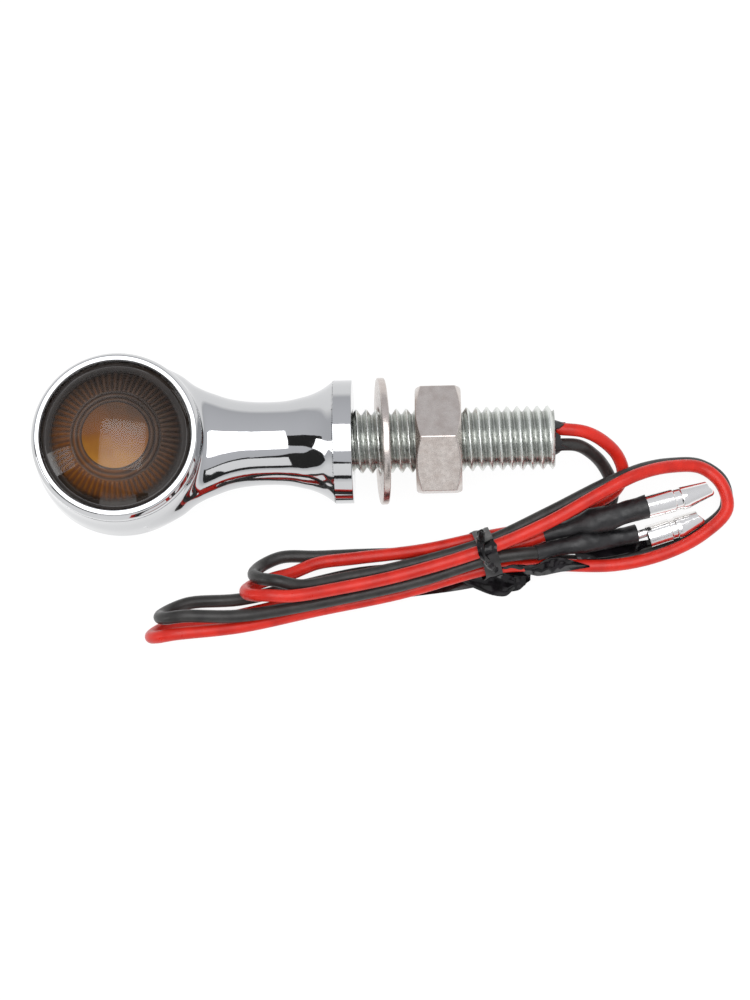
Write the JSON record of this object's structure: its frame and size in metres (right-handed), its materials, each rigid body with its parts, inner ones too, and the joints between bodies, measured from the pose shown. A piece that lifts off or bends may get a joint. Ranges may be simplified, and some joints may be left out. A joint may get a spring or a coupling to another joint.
{
  "type": "turn signal indicator",
  "caption": "Small round motorcycle turn signal: chrome body, smoked lens, hollow threaded stud with washer and nut, and flying leads with bullet terminals.",
  "frame": {"origin": "centre of the bounding box's footprint, without the flying leads, on the surface the part lies on", "axes": "+X along the stud towards its free end, +Z the way the lens faces"},
  "size_m": [0.087, 0.0355, 0.0184],
  "materials": {
    "chrome": "mirror-polished chrome plate",
    "zinc": "bright zinc plate, slightly green-grey",
    "nickel": "warm nickel-grey plate",
    "tinned": "bright tinned sheet",
    "smoked_lens": "smoked, polished, see-through",
    "amber_lens": "amber, moulded with flutes and rings",
    "bulb_amber": "amber-dipped glass",
    "reflector_silver": "vacuum-metallised",
    "brass": "plain",
    "spring_steel": "drawn wire",
    "phenolic": "pressed board",
    "seal_rubber": "matt",
    "red_pvc": "semi-gloss wire insulation",
    "black_pvc": "semi-gloss wire insulation",
    "sleeving": "satin heat-shrink",
    "tie_ribbon": "glossy plastic ribbon"
  },
  "bodies": {
    "signal": {"housing": "chrome", "trim_ring": "chrome", "outer_lens": "smoked_lens", "lens_gasket": "seal_rubber", "inner_lens": "amber_lens", "reflector": "reflector_silver", "bulb_glass": "bulb_amber", "bulb_base": "brass", "bulb_socket": "brass", "socket_insulator": "phenolic", "contact_spring": "spring_steel", "contact_pin": "brass", "contact_strip": "brass", "ground_tab": "brass", "red_inner_lead": "red_pvc", "black_inner_lead": "black_pvc", "lead_sleeve": "sleeving", "stud": "zinc", "red_wire": "red_pvc", "black_wire": "black_pvc", "red_heat_shrink": "sleeving", "black_heat_shrink": "sleeving", "red_bullet": "tinned", "black_bullet": "tinned", "tie_wrap": "tie_ribbon", "tie_knot": "tie_ribbon", "tie_tail_left": "tie_ribbon", "tie_tail_right": "tie_ribbon"},
    "washer": {"washer": "nickel"},
    "nut": {"nut": "nickel"}
  },
  "joints": [
    {"name": "washer_slide", "type": "slide", "parent": "signal", "child": "washer", "axis": [1, 0, 0], "range_m": [-0.0024, 0.0025]},
    {"name": "nut_slide", "type": "slide", "parent": "washer", "child": "nut", "axis": [1, 0, 0], "range_m": [-0.0028, 0.0085]}
  ]
}
